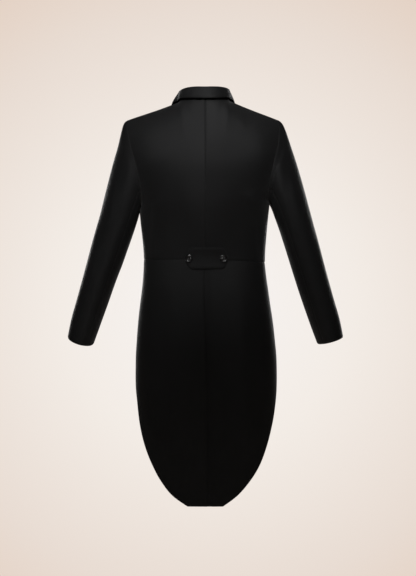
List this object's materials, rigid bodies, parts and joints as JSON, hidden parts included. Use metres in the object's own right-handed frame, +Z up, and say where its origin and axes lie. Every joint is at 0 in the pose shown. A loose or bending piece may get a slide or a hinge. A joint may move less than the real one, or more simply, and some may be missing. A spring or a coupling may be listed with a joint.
{
  "type": "tailcoat",
  "caption": "Evening tailcoat cut away at the front, with long tails, a centre vent, a buttoned half belt, peaked lapels and two piece sleeves.",
  "frame": {"origin": "middle of the neck, level with the wearer's neck points, where the coat is held", "axes": "+Z up, +Y to the wearer's front, +X to the wearer's right"},
  "size_m": [0.7722, 0.2516, 1.1447],
  "materials": {
    "black_wool": "matt worsted",
    "black_silk": "ribbed silk sheen",
    "black_button": "gloss"
  },
  "bodies": {
    "root": {"back_left": "black_wool", "back_right": "black_wool", "belt_button_left": "black_button", "belt_button_right": "black_button", "collar": "black_wool", "front_button_left_1": "black_button", "front_button_left_2": "black_button", "front_button_left_3": "black_button", "front_button_right_1": "black_button", "front_button_right_2": "black_button", "front_button_right_3": "black_button", "front_left": "black_wool", "front_right": "black_wool", "half_belt": "black_wool", "lapel_left": "black_silk", "lapel_right": "black_silk", "tail_left": "black_wool", "tail_right": "black_wool", "top_sleeve_left": "black_wool", "top_sleeve_right": "black_wool", "under_sleeve_left": "black_wool", "under_sleeve_right": "black_wool"}
  },
  "joints": []
}
